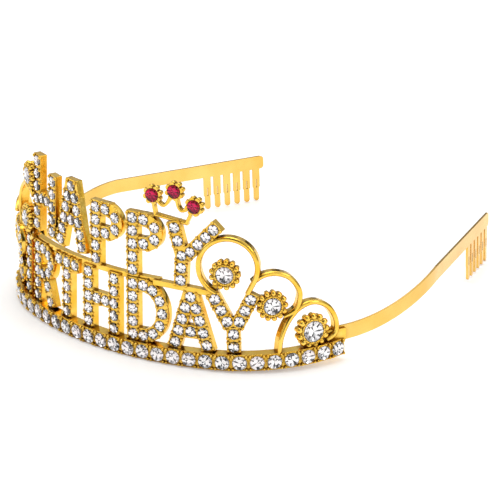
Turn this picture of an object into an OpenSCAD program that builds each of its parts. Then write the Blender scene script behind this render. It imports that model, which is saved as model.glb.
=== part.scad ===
// Party tiara with two rows of stoned block letters on a curved stone rail, flowers in wire
// scrolls at both sides, a small three stone crown, and two side strips that end in combs.
// Lengths are in millimetres. The front of the rail faces -Y, and the wearer's head is at +Y.
// Places on the front are given as s, the distance along the rail's curve from its middle,
// with +X positive, and h, the height above the line through the rail's stones.

/* [Plan curve] */
// Radius of the front arc
front_r = 93.5; // [92:0.5:96]
// Half of the front arc's length, along the rail
front_half = 36; // [34:1:37]
// Radius of the two side arcs
side_r = 41; // [40:0.5:43]
// Angle by which the stone rail leans forward when the crown stands on rail and combs
rest_tilt = 2.6; // [2:0.1:3]
// Angle by which the letters lean back from the rail's own upright
panel_lean = 4; // [3:0.5:5]
// The same angle at the far left end, where the panel is bent out a little
left_lean = 0; // [-1:0.5:2]

/* [Stone rail] */
// Number of rail stones
rail_count = 31; // [31:2:31]
// Distance between rail stones
rail_pitch = 5; // [4.95:0.05:5.05]
// Diameter of a rail stone
rail_stone_d = 4.1; // [3.8:0.1:4.2]
// Height of the rail
rail_h = 5; // [4.8:0.1:5.2]
// Depth of the rail behind its face
rail_depth = 3.2; // [3:0.1:3.4]

/* [Letters] */
// Width of a letter's stroke
stroke_w = 4; // [3.9:0.05:4.1]
// Thickness of the letters and scrolls
plate_t = 2.2; // [2:0.1:2.4]
// Diameter of a letter stone
letter_stone_d = 2.8; // [2.6:0.05:2.85]
// Distance between stones up a stem in the lower row
lower_pitch = 3.8; // [3.75:0.05:3.85]
// Distance between stones up a stem in the upper row
upper_pitch = 3.9; // [3.85:0.05:3.95]
// Height of the lowest stones of the lower row
lower_base = 4.4; // [4.2:0.1:4.6]
// Height of the middle rail's lower edge
mid_rail_base = 20.7; // [20.5:0.1:20.9]
// Height of the middle rail
mid_rail_h = 1.6; // [1.4:0.1:1.8]

/* [Flowers and scrolls] */
// Width of the scrolls' wire, seen from the front
wire_w = 1.5; // [1.3:0.1:1.6]
// Outer radius of the big loop's wire
loop_r = 9.2; // [9:0.1:9.4]
// Radius of the small flowers
flower_r = 4.4; // [4.2:0.1:4.5]
// Radius of the big flowers
big_flower_r = 5.1; // [4.9:0.1:5.3]
// Number of beads round a flower
bead_count = 13; // [12:1:14]
// Diameter of a small flower's stone
flower_stone_d = 5; // [4.8:0.1:5.1]
// Diameter of a big flower's stone
big_stone_d = 6.2; // [6:0.1:6.3]

/* [Small crown] */
// Diameter of a red stone
red_stone_d = 3.5; // [3.3:0.1:3.6]
// Angle at which the small crown sits on the upper row
crown_tilt = 8; // [6:1:10]

/* [Side strips and combs] */
// Height of a strip
strip_h = 4.5; // [4.3:0.1:4.7]
// Thickness of a strip
strip_t = 0.7; // [0.6:0.05:0.8]
// Direction in which a strip leaves the rail, from +X
strip_dir = 55.8; // [55.6:0.1:56]
// Radius of a strip's bend round the head
strip_r = 48.5; // [48:0.5:49.5]
// Length of that bend
strip_bend = 44.2; // [43.8:0.2:44.6]
// Length of a strip's straight end, with the comb
strip_straight = 57.5; // [55:0.5:58]
// Height of a strip's centre above the rail's foot where it leaves the rail
strip_z0 = 6.3; // [6.1:0.1:6.8]
// Height of a strip's centre above the rail's foot where its bend ends
strip_z1 = 11.9; // [11.5:0.1:12.3]
// Number of comb teeth
tooth_count = 6; // [5:1:6]
// Distance between comb teeth
tooth_pitch = 3.95; // [3.7:0.05:4]
// Length of a comb tooth below its strip
tooth_len = 11.5; // [11:0.5:12]
// Width of a tooth at its root
tooth_w = 2.6; // [2.4:0.1:2.7]

/* [Hidden] */
$fn = 48;

gold = [0.93, 0.68, 0.22];
crystal = [0.9, 0.92, 0.95];
magenta = [0.72, 0.06, 0.36];

// Stones: shares of a stone's diameter, and the play round and under it
table_share = 0.56;
crown_share = 0.16;
pavilion_share = 0.34;
seat_play = 0.1;
stone_sides = 8;
big_stone_sides = 12;

// Rail: its face stands a little in front of the curve through the stones
rail_face = 0.2;
rail_end = rail_count * rail_pitch / 2;
stone_z = rail_h / 2;

// Letters: their face lies behind the curve, and their seats are cut into it. A flower's
// beads have a share of the size at which they would touch.
plate_face = -1.2;
flower_face = -0.5;
bead_face = -1;
cup_step = 0.35;
bead_share = 0.9;
bezel_w = 0.5;
bezel_h = 0.35;
mid_rail_left = -42;
mid_rail_right = 20;
slope_s = 27.8;
slope_from = [-8.5, 21.4];
slope_to = [8, 20.3];

// Side arc's centre
bend_turn = front_half / front_r * 180 / PI;
side_cx = (front_r - side_r) * sin(bend_turn);
side_cy = front_r - (front_r - side_r) * cos(bend_turn);

// Strips: lap on the rail's end tab, and the comb's place on the straight end
strip_s = 75;
strip_inset = 2;
strip_lap = 3.6;
strip_profile_steps = 24;
end_round = 1.2;
tab_t = 0.7;
tab_before = 3.4;
tab_after = 3;
tab_h = 3.6;
notch_after = 6;
notch_rise = 0.4;
comb_margin = 1.6;
tooth_tip_w = 1.9;
tooth_step_share = 0.58;
slit_w = 0.5;
slit_len = 3;

// Big loops stand over the lower row's ends. The inner flowers sit low in them.
loop_s = 42;
loop_h = 28.2;
loop_left = 245;
loop_right = -25;
loop_step = 7.5;
loop_foot = [5.5, -7.6];
stem_top = 130;
stem_bottom = 224;
stem_from = 3.6;
stem_to = 6.8;
stem_turn = 232;
inner_flower_s = 41.1;
inner_flower_h = 26.2;
middle_flower_s = 55.1;
middle_flower_h = 16.5;
outer_flower_s = 67.4;
outer_flower_h = 7;
top_flower_s = -39.6;
top_flower_h = 40.1;

// The left scroll is squeezed along the rail, to clear the lower row's first letter
squeeze = 0.84;
squeeze_from = 55.1;
squeeze_to = 59;
left_end_s = -45;

// Small crown, in its own frame, with the middle of its foot at the origin
crown_s = 23.9;
crown_h = 40.9;
crown_foot = 9.8;
crown_stones = [[-6.6, 5.5], [0, 8.3], [6.6, 5.5]];
petal_r = 0.75;
petal_count = 8;
thin_step = 0.4;

// Turning of the plan curve at s, in degrees
function turn(s) = sign(s) * (180 / PI)
    * (min(abs(s), front_half) / front_r + max(abs(s) - front_half, 0) / side_r);
function plan_x(s) = abs(s) <= front_half ? front_r * sin(turn(s))
    : sign(s) * (side_cx + side_r * sin(turn(abs(s))));
function plan_y(s) = abs(s) <= front_half ? front_r * (1 - cos(turn(s)))
    : side_cy - side_r * cos(turn(abs(s)));

// Strokes of the letters. A line holds [x0, y0, x1, y1, stones], and an arc of an ellipse
// holds [cx, cy, rx, ry, from, to, stones]. A line with no stones is metal alone.
// A bowl is such an arc, from the angle a round to -90, with bare metal back to its stem.
function bowl(stem, cx, cy, rx, ry, a, n) = [[stem, cy + ry * sin(a), cx, cy + ry * sin(a), 0],
                                             [stem, cy - ry, cx, cy - ry, 0],
                                             [cx, cy, rx, ry, a, -90, n]];
function tall_h(p) = [[-4.6, 0, -4.6, 5 * p, 6], [4.6, 0, 4.6, 4 * p, 5],
                      [-1.53, 2.2 * p, 1.53, 2.2 * p, 2]];
function wide_h(p) = [[-5.05, 0, -5.05, 4 * p, 5], [5.05, 0, 5.05, 4 * p, 5],
                      [-1.68, 2 * p, 1.68, 2 * p, 2]];
function cap_a(w, p, n) = [[-w, 0, -1.65, (n - 1) * p, n], [w, 0, 1.65, (n - 1) * p, n],
                           [0, n * p - 0.2, 0, n * p - 0.2, 1],
                           [0, (n - 3) * p, 0, (n - 3) * p, 1]];
function cap_p(p) = [[-3.7, 0, -3.7, 4 * p, 5], each bowl(-3.7, 0, 3.06 * p, 4.3, 0.93 * p, 90, 4)];
function cap_b(p) = [[-3.4, 0, -3.4, 4 * p, 5], each bowl(-3.4, -0.1, 3.07 * p, 3.2, 0.98 * p, 90, 4),
                     each bowl(-3.4, 0, 1.03 * p, 3.9, p, 30, 3)];
function cap_i(p) = [[0, 0, 0, 4 * p, 5]];
function cap_r(p) = [[-3.8, 0, -3.8, 4 * p, 5], each bowl(-3.8, -0.6, 3 * p, 4.4, 1.03 * p, 90, 5),
                     [2.1, 1.1 * p, 3.9, 0, 2], [0.6, 1.95 * p, 3.9, 0, 0]];
function cap_t(p) = [[-3.9, 4 * p, 3.9, 4 * p, 3], [0, 0, 0, 3 * p, 4]];
function cap_d(p) = [[-5, 0, -5, 4 * p, 5], each bowl(-5, -1.5, 2 * p, 6.4, 2 * p, 90, 7)];
function cap_y(p) = [[-5.1, 3.75 * p, -1.75, 2 * p, 3], [5.1, 3.75 * p, 1.75, 2 * p, 3],
                     [0, 0, 0, p, 2]];
function slant_y(p) = [[-2.3, 0, -1.9, 1.9 * p, 3], [-3.05, 3 * p, -4, 3.98 * p, 2],
                       [-1.9, 1.9 * p, -3.05, 3 * p, 0], [0.7, 2.25 * p, 7.8, 4.13 * p, 4]];

// Rows of letters: each holds its middle along the rail, its foot's height and its strokes
lower_row = [[-49.4, lower_base, cap_b(lower_pitch)], [-40.3, lower_base, cap_i(lower_pitch)],
             [-29.2, lower_base, cap_r(lower_pitch)], [-16.5, lower_base, cap_t(lower_pitch)],
             [-1.15, lower_base, wide_h(lower_pitch)], [16.1, lower_base, cap_d(lower_pitch)],
             [30.2, lower_base, cap_a(4.85, 3.55, 4)],
             [43.3, lower_base, cap_y(lower_pitch)]];
upper_row = [[-29, 26.8, tall_h(upper_pitch)], [-14.4, 26.2, cap_a(5, 3.52, 5)],
             [0.6, 24.4, cap_p(upper_pitch)], [14.8, 23.9, cap_p(upper_pitch)],
             [29.5, 23.1, slant_y(upper_pitch)]];

function is_arc(k) = len(k) == 7;
function stone_count(k) = k[len(k) - 1];
function share(i, n) = n > 1 ? i / (n - 1) : 0;
function stroke_point(k, t) = is_arc(k)
    ? let(a = k[4] + (k[5] - k[4]) * t) [k[0] + k[2] * cos(a), k[1] + k[3] * sin(a)]
    : [k[0] + (k[2] - k[0]) * t, k[1] + (k[3] - k[1]) * t];
function stroke_stones(k) = let(n = stone_count(k))
    n == 0 ? [] : [for (i = [0 : n - 1]) stroke_point(k, share(i, n))];
function letter_stones(letter) = [for (k = letter[2]) each stroke_stones(k)];

// The whole crown leans forward as it rests, with the rail's front edge on the floor. The
// origin lies on the floor under the middle of its outline.
module resting() {
    translate([0, -middle_y, 0]) rotate([rest_tilt, 0, 0]) translate([0, rail_face, 0])
        children();
}

// A frame on the front at s: x runs along the rail, y up and z out of the front
function lean_at(s) = s < left_end_s ? left_lean : panel_lean;
module upright(s, h, lean) {
    translate([plan_x(s), plan_y(s), stone_z]) rotate([0, 0, turn(s)])
        rotate([90 - lean, 0, 0]) translate([0, h, 0]) children();
}
module on_front(s, h = 0) { upright(s, h, lean_at(s)) children(); }

// A band that follows the plan curve from s0 to s1, n0 to n1 out of it and z0 to z1 high
module arc_band(r, a0, a1, n0, n1, z0, z1) {
    rotate([0, 0, a0 - 90]) rotate_extrude(angle = a1 - a0, $fn = 180)
        translate([r + n0, z0]) square([n1 - n0, z1 - z0]);
}

module side_band(s0, s1, n0, n1, z0, z1) {
    translate([side_cx, side_cy, 0]) arc_band(side_r, turn(s0), turn(s1), n0, n1, z0, z1);
}

module band(s0, s1, n0, n1, z0, z1) {
    translate([0, front_r, 0])
        arc_band(front_r, turn(max(s0, -front_half)), turn(min(s1, front_half)),
                 n0, n1, z0, z1);
    if (s1 > front_half) side_band(front_half, s1, n0, n1, z0, z1);
    if (s0 < -front_half) mirror([1, 0, 0]) side_band(front_half, -s0, n0, n1, z0, z1);
}

// A bar from a to b, with square ends half a width past them
module bar(a, b, w) {
    d = b - a;
    translate(a) rotate(atan2(d[1], d[0])) translate([-w / 2, -w / 2])
        square([norm(d) + w, w]);
}

module stroke(k) {
    if (is_arc(k)) {
        steps = 3 * (stone_count(k) - 1);
        dots = [for (i = [0 : steps]) stroke_point(k, i / steps)];
        wire(dots, stroke_w);
    } else {
        bar([k[0], k[1]], [k[2], k[3]], stroke_w);
    }
}

// A wire of width w through the points p, cut square at both ends
function unit(v) = v / norm(v);
function side_of(p, i) = let(a = p[max(i - 1, 0)], b = p[min(i + 1, len(p) - 1)],
                             d = unit(b - a)) [-d[1], d[0]];
module wire(p, w) {
    last = len(p) - 1;
    polygon(concat([for (i = [0 : last]) p[i] + side_of(p, i) * w / 2],
                   [for (i = [last : -1 : 0]) p[i] - side_of(p, i) * w / 2]));
}

// Points on a smooth curve through the points k, with steps stretches between each two
function blend(a, b, c, d, t) = 0.5 * (2 * b + (c - a) * t + (2 * a - 5 * b + 4 * c - d) * t * t
    + (3 * b - a - 3 * c + d) * t * t * t);
function smooth(k, steps) = let(n = len(k) - 1)
    [for (i = [0 : n - 1], j = [0 : steps - (i == n - 1 ? 0 : 1)])
        blend(k[max(i - 1, 0)], k[i], k[i + 1], k[min(i + 2, n)], j / steps)];

module plate() {
    translate([0, 0, plate_face - plate_t]) linear_extrude(plate_t) children();
}

// A plate that stays inside the one above by thin_step at the front and the back
module thin_plate() {
    translate([0, 0, plate_face - plate_t + thin_step])
        linear_extrude(plate_t - 2 * thin_step) children();
}

module seat(d, face) {
    depth = d * pavilion_share + seat_play;
    translate([0, 0, face - depth]) cylinder(d = d + 2 * seat_play, h = depth + 5);
}

// A cut stone with its girdle at z = 0, a flat table and facets above and below
module stone(d, sides = stone_sides) {
    r = d / 2;
    rotate_extrude($fn = sides)
        polygon([[0, -d * pavilion_share], [r, -d * 0.02], [r, d * 0.02],
                 [r * table_share, d * crown_share], [0, d * crown_share]]);
}

module letter_plate(letter) {
    difference() {
        on_front(letter[0], letter[1]) plate() for (k = letter[2]) stroke(k);
        on_front(letter[0], letter[1])
            for (p = letter_stones(letter)) translate(p) seat(letter_stone_d, plate_face);
    }
}

module row_stones(row) {
    for (letter = row) on_front(letter[0], letter[1])
        for (p = letter_stones(letter)) translate([p[0], p[1], plate_face])
            stone(letter_stone_d);
}

function rail_s(i) = (i - (rail_count - 1) / 2) * rail_pitch;

module stone_rail() {
    difference() {
        band(-rail_end, rail_end, rail_face - rail_depth, rail_face, 0, rail_h);
        for (i = [0 : rail_count - 1]) upright(rail_s(i), 0, 0) seat(rail_stone_d, rail_face);
    }
}

module middle_rail() {
    back = plate_face - plate_t - (mid_rail_base + mid_rail_h / 2) * sin(panel_lean);
    band(mid_rail_left, mid_rail_right, back, back + plate_t - thin_step,
         stone_z + mid_rail_base, stone_z + mid_rail_base + mid_rail_h);
    on_front(slope_s) plate() bar(slope_from, slope_to, mid_rail_h);
}

// A bead edged cup for one round stone
module flower(r, stone_d) {
    bead_ring = r / (1 + bead_share * sin(180 / bead_count));
    back = plate_face - plate_t + cup_step;
    difference() {
        union() {
            translate([0, 0, back]) cylinder(r = bead_ring, h = flower_face - back);
            for (i = [0 : bead_count - 1]) rotate(i * 360 / bead_count)
                translate([bead_ring, 0, back + cup_step])
                    cylinder(r = r - bead_ring, h = bead_face - back - cup_step, $fn = 24);
            translate([0, 0, flower_face])
                cylinder(d = stone_d + 2 * (seat_play + bezel_w), h = bezel_h);
        }
        seat(stone_d, flower_face + bezel_h);
    }
}

// Places of the flowers on one side: s, h, cup's radius and stone's diameter
function reach(s, side) = side > 0 ? s : squeeze_to + (s - squeeze_from) * squeeze;
function side_flowers(side) = [
    [side * inner_flower_s, inner_flower_h, flower_r, flower_stone_d],
    [side * reach(middle_flower_s, side), middle_flower_h, flower_r, flower_stone_d],
    [side * reach(outer_flower_s, side), outer_flower_h, big_flower_r, big_stone_d]];
top_flower = [top_flower_s, top_flower_h, flower_r - 0.2, flower_stone_d];
flowers = concat(side_flowers(1), side_flowers(-1), [top_flower]);

// Wires of one side: the big loop, the middle curl and the outer curl with its foot
middle_curl = [[49.9, 23.8], [52.8, 25.6], [56.8, 25.9], [60.9, 24], [63.4, 19.5],
               [62.2, 14.8], [58.4, 12.8]];
outer_curl = [[56.6, 1.5], [57.6, 6.8], [60.2, 11.5], [63.9, 14.7], [68.5, 15.5],
              [72.7, 13.3], [75, 8.8], [74.6, 4.9], [71.8, 3.2]];
wire_steps = 4;

module curl(points, side) {
    middle = (points[0][0] + points[len(points) - 3][0]) / 2;
    s = side * reach(middle, side);
    on_front(s) plate()
        wire([for (p = smooth(points, wire_steps)) [side * reach(p[0], side) - s, p[1]]],
             wire_w);
}

function polar(r, a) = [r * cos(a), r * sin(a)];
// The left loop is open where the upper row's first stem takes its place.
module big_loop(side) {
    r = loop_r - wire_w / 2;
    on_front(side * loop_s, loop_h) mirror([side > 0 ? 0 : 1, 0, 0]) plate() {
        wire([for (a = [side > 0 ? loop_left : stem_top : -loop_step : loop_right]) polar(r, a),
              loop_foot], wire_w);
        if (side < 0) wire([for (a = [loop_left, stem_bottom]) polar(r, a)], wire_w);
    }
}

module scroll(side) {
    big_loop(side);
    curl(middle_curl, side);
    curl(outer_curl, side);
}

// The inner flowers hang on a short stem from the loop's foot
module flower_cups() {
    for (f = flowers) on_front(f[0], f[1]) flower(f[2], f[3]);
    for (side = [1, -1]) on_front(side * inner_flower_s, inner_flower_h)
        mirror([side > 0 ? 0 : 1, 0, 0]) thin_plate()
            bar(polar(stem_from, stem_turn), polar(stem_to, stem_turn), wire_w);
}

// The small crown: a foot, two posts to the outer cups, and a round valley of wire from each
// outer cup to the middle one
module petal_cup() {
    cup_r = red_stone_d / 2 + seat_play + 0.25;
    cylinder(r = cup_r, h = plate_t - 0.4);
    for (i = [0 : petal_count - 1]) rotate((i + 0.5) * 360 / petal_count)
        translate([cup_r, 0, 0]) cylinder(r = petal_r, h = plate_t - 0.2, $fn = 24);
}

module small_crown() {
    half = crown_foot / 2;
    valley = [[-4.95, 4.45], [-3.9, 3.6], [-2.8, 3.3], [-1.9, 4.1], [-1.3, 5.4], [-1, 6.6]];
    side_post = [[-half, 0], [-half - 1.2, 3.6]];
    low = plate_face - plate_t;
    on_front(crown_s, crown_h) rotate(-crown_tilt) difference() {
        union() {
            thin_plate() {
                bar([-half, 0], [half, 0], 1);
                for (m = [0, 1]) mirror([m, 0]) {
                    wire(smooth(valley, wire_steps), 0.9);
                    wire(side_post, 0.9);
                }
            }
            for (p = crown_stones) translate([p[0], p[1], low]) petal_cup();
        }
        for (p = crown_stones) translate([p[0], p[1], 0])
            seat(red_stone_d, low + plate_t - 0.4);
    }
}

// End tabs, to which the side strips are lapped, and notches for the strips behind them
module strip_start(side) {
    mirror([side > 0 ? 0 : 1, 0, 0])
        translate([plan_x(strip_s), plan_y(strip_s), 0]) rotate([0, 0, strip_dir]) children();
}

module end_tab(side) {
    strip_start(side) translate([-tab_before, strip_inset - strip_t / 2 - seat_play - tab_t,
                                 rail_h - 0.6])
        cube([tab_before + tab_after, tab_t, tab_h]);
}

module strip_notch(side) {
    strip_start(side) translate([-strip_lap - 2 * seat_play, strip_inset - strip_t / 2 - seat_play,
                                 strip_z0 - strip_h / 2 - seat_play])
        cube([strip_lap + notch_after, rail_depth, strip_h + seat_play + notch_rise]);
}

module front_frame() {
    color(gold) resting() {
        difference() {
            union() {
                stone_rail();
                scroll(1);
                scroll(-1);
                flower_cups();
            }
            strip_notch(1);
            strip_notch(-1);
        }
        end_tab(1);
        end_tab(-1);
        middle_rail();
        for (letter = lower_row) letter_plate(letter);
        for (letter = upper_row) letter_plate(letter);
        small_crown();
    }
}

// Side strips. Seen from above each is a lap, a bend and a straight end. A side view,
// pushed through along X, gives its edges their rise and fall.
end_dir = strip_dir + strip_bend / strip_r * 180 / PI;
strip_x0 = plan_x(strip_s) - strip_inset * sin(strip_dir);
strip_y0 = plan_y(strip_s) + strip_inset * cos(strip_dir);
bend_cx = strip_x0 - strip_r * sin(strip_dir);
bend_cy = strip_y0 + strip_r * cos(strip_dir);
bend_x = bend_cx + strip_r * sin(end_dir);
bend_y = bend_cy - strip_r * cos(end_dir);
strip_end_y = bend_y + strip_straight * sin(end_dir);
strip_length = strip_bend + strip_straight;
function strip_y(u) = u < 0 ? strip_y0 + u * sin(strip_dir)
    : u < strip_bend ? bend_cy - strip_r * cos(strip_dir + u / strip_r * 180 / PI)
    : bend_y + (u - strip_bend) * sin(end_dir);

// Height of the floor below a place, in the rail's own frame
function floor_z(y) = -(y + rail_face) * tan(rest_tilt);
strip_z2 = floor_z(strip_end_y) + tooth_len + strip_h / 2;

// Middle of the crown's depth as it rests, between the rail stones and the strips' ends
front_y = -crown_share * rail_stone_d - stone_z * sin(rest_tilt);
back_y = (strip_end_y + rail_face) * cos(rest_tilt) - (strip_z2 - strip_h / 4) * sin(rest_tilt);
middle_y = (front_y + back_y) / 2;

function ease(t) = t * t * (3 - 2 * t);
function strip_z(u) = u < 0 ? strip_z0
    : u < strip_bend ? strip_z0 + (strip_z1 - strip_z0) * ease(u / strip_bend)
    : strip_z1 + (strip_z2 - strip_z1) * (u - strip_bend) / strip_straight;

module strip_side_view() {
    // Each edge point holds its place along the strip and half the height there
    edge = [[-strip_lap - 1, strip_h / 2], [-2, strip_h / 2],
            each [for (i = [0 : strip_profile_steps])
                [i * strip_bend / strip_profile_steps, strip_h / 2]],
            each [for (a = [0 : 15 : 90])
                [strip_length - end_round * (1 - sin(a)), strip_h / 2 - end_round * (1 - cos(a))]]];
    last = len(edge) - 1;
    rotate([90, 0, 90]) linear_extrude(90) polygon(concat(
        [for (i = [0 : last]) [strip_y(edge[i][0]), strip_z(edge[i][0]) - edge[i][1]]],
        [for (i = [last : -1 : 0]) [strip_y(edge[i][0]), strip_z(edge[i][0]) + edge[i][1]]]));
}

module strip_top_view() {
    tall = 40;
    translate([strip_x0, strip_y0, -tall / 2]) rotate([0, 0, strip_dir])
        translate([-strip_lap, -strip_t / 2, 0]) cube([strip_lap + 0.01, strip_t, tall]);
    translate([bend_cx, bend_cy, -tall / 2]) rotate([0, 0, strip_dir - 90])
        rotate_extrude(angle = end_dir - strip_dir, $fn = 180)
            translate([strip_r - strip_t / 2, 0]) square([strip_t, tall]);
    translate([bend_x, bend_y, -tall / 2]) rotate([0, 0, end_dir])
        translate([-0.01, -strip_t / 2, 0]) cube([strip_straight + 1, strip_t, tall]);
}

// A tooth hangs from y = 0, wide at its root, with a slit and a round narrow tip
module tooth_outline() {
    step = tooth_len * tooth_step_share;
    difference() {
        union() {
            translate([-tooth_w / 2, -step]) square([tooth_w, step + 1.5]);
            translate([-tooth_tip_w / 2, -tooth_len + tooth_tip_w / 2])
                square([tooth_tip_w, tooth_len - tooth_tip_w / 2]);
            translate([0, -tooth_len + tooth_tip_w / 2]) circle(d = tooth_tip_w);
        }
        translate([-slit_w / 2, -step]) square([slit_w, slit_len]);
    }
}

module comb() {
    first = strip_straight - comb_margin - tooth_w / 2 - (tooth_count - 1) * tooth_pitch;
    translate([bend_x, bend_y, 0]) rotate([0, 0, end_dir]) rotate([90, 0, 0])
        translate([0, 0, -strip_t / 2]) linear_extrude(strip_t)
            for (i = [0 : tooth_count - 1]) {
                u = first + i * tooth_pitch;
                translate([u, strip_z(strip_bend + u) - strip_h / 2]) tooth_outline();
            }
}

module arm() {
    color(gold) resting() {
        intersection() {
            strip_top_view();
            strip_side_view();
        }
        comb();
    }
}

module right_arm() { arm(); }
module left_arm() { color(gold) mirror([1, 0, 0]) arm(); }

// Stones
module rail_stones() {
    color(crystal) resting() for (i = [0 : rail_count - 1])
        upright(rail_s(i), 0, 0) translate([0, 0, rail_face]) stone(rail_stone_d);
}

module upper_row_stones() { color(crystal) resting() row_stones(upper_row); }
module lower_row_stones() { color(crystal) resting() row_stones(lower_row); }

module flower_stone(i) {
    f = flowers[i];
    color(crystal) resting() on_front(f[0], f[1])
        translate([0, 0, flower_face + bezel_h]) stone(f[3], big_stone_sides);
}

module red_stone(i) {
    color(magenta) resting() on_front(crown_s, crown_h) rotate(-crown_tilt)
        translate([crown_stones[i][0], crown_stones[i][1], plate_face - 0.4])
            stone(red_stone_d, big_stone_sides);
}

front_frame();
right_arm();
left_arm();
rail_stones();
upper_row_stones();
lower_row_stones();
flower_stone(0);  // flower_stone_right_inner
flower_stone(1);  // flower_stone_right_middle
flower_stone(2);  // flower_stone_right_outer
flower_stone(3);  // flower_stone_left_inner
flower_stone(4);  // flower_stone_left_middle
flower_stone(5);  // flower_stone_left_outer
flower_stone(6);  // flower_stone_left_top
red_stone(0);  // red_stone_left
red_stone(1);  // red_stone_middle
red_stone(2);  // red_stone_right
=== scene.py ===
import logging
import math
from dataclasses import dataclass
from enum import Enum

import bpy
from bpy.types import Material, Node, NodeSocket, NodeTree, Object
from mathutils import Matrix, Vector


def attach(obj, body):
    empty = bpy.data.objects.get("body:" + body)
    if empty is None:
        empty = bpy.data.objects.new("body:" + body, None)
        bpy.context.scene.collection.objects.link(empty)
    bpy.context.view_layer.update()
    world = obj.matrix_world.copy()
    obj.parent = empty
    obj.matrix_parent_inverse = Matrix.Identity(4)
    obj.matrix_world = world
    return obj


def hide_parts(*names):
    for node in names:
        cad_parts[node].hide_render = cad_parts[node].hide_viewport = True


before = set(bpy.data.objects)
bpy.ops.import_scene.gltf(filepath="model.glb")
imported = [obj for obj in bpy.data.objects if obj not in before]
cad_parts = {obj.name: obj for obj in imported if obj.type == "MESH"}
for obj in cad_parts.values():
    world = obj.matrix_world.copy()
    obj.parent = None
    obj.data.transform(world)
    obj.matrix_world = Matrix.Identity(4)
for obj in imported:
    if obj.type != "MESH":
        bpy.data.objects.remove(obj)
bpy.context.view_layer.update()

LOG = logging.getLogger("birthday_crown")

# Sizes below are in millimetres. Every template is modelled in millimetres at the origin, and its
# place matrix turns it into metres.
MM = 0.001

# Faces of the casting, as places in front of the curve through the rail's stones, and sizes of it
PLATE_FACE = -1.2
FLOWER_FACE = -0.5
BEAD_FACE = -1.0
PLATE_T = 2.2
STROKE_W = 4.0
BEZEL_H = 0.35

# The four prongs of a setting, as signs along and across it
CORNERS = ((-1, -1), (-1, 1), (1, -1), (1, 1))

# The part of a noise's values that a finish spreads over its range, and the range of a share
NOISE_PART = (0.35, 0.65)
SHARE = (0.0, 1.0)


class Side(Enum):
    """The two ends of the front, as signs of the distance along its rail."""

    LEFT = -1
    RIGHT = 1


def shift(x: float, y: float, z: float) -> Matrix:
    """Returns the matrix that moves by x, y and z."""
    return Matrix.Translation((x, y, z))


# Where things sit on the front


@dataclass(frozen=True)
class PlanCurve:
    """The curve of the front, seen from above: one wide arc with a tighter arc at each end."""

    front_r: float = 93.5
    front_half: float = 36.0
    side_r: float = 41.0

    def turn(self, s: float) -> float:
        """Returns the turning of the curve at a distance from its middle, in radians."""
        round_end = max(abs(s) - self.front_half, 0.0) / self.side_r
        return math.copysign(min(abs(s), self.front_half) / self.front_r + round_end, s)

    def point(self, s: float) -> Vector:
        """Place on the curve.

        Args:
            s: Distance along the curve, positive to the right.

        Returns:
            The place, with y growing towards the back.
        """
        turn = abs(self.turn(s))
        if abs(s) <= self.front_half:
            x, y = self.front_r * math.sin(turn), self.front_r * (1 - math.cos(turn))
        else:
            bend, apart = self.front_half / self.front_r, self.front_r - self.side_r
            x = apart * math.sin(bend) + self.side_r * math.sin(turn)
            y = self.front_r - apart * math.cos(bend) - self.side_r * math.cos(turn)
        return Vector((math.copysign(x, s), y, 0.0))


@dataclass(frozen=True)
class Stance:
    """How the crown stands, and the frames in which the front's details are laid out."""

    curve: PlanCurve = PlanCurve()
    rest_tilt: float = math.radians(2.6)
    panel_lean: float = math.radians(4.0)
    left_lean: float = 0.0
    left_end_s: float = -45.0
    rail_face: float = 0.2
    stone_z: float = 2.5
    middle_y: float = 66.18835

    def resting(self) -> Matrix:
        """Returns the matrix that stands the crown on its rail and combs, in metres."""
        stand = shift(0, -self.middle_y, 0) @ Matrix.Rotation(self.rest_tilt, 4, "X")
        return Matrix.Scale(MM, 4) @ stand @ shift(0, self.rail_face, 0)

    def upright(self, s: float, h: float, lean: float) -> Matrix:
        """A frame on the front, with x along the rail, y up and z out of the front.

        Args:
            s: Distance along the rail from its middle.
            h: Height above the line through the rail's stones.
            lean: Angle by which the frame leans back.

        Returns:
            The matrix from that frame to the scene.
        """
        foot = Matrix.Translation(self.curve.point(s) + Vector((0, 0, self.stone_z)))
        turned = Matrix.Rotation(self.curve.turn(s), 4, "Z")
        leant = Matrix.Rotation(math.pi / 2 - lean, 4, "X")
        return self.resting() @ foot @ turned @ leant @ shift(0, h, 0)

    def on_front(self, s: float, h: float) -> Matrix:
        """Returns the upright frame at a place on the panel of letters and scrolls."""
        return self.upright(s, h, self.left_lean if s < self.left_end_s else self.panel_lean)


STANCE = Stance()


# Finishes


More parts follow.
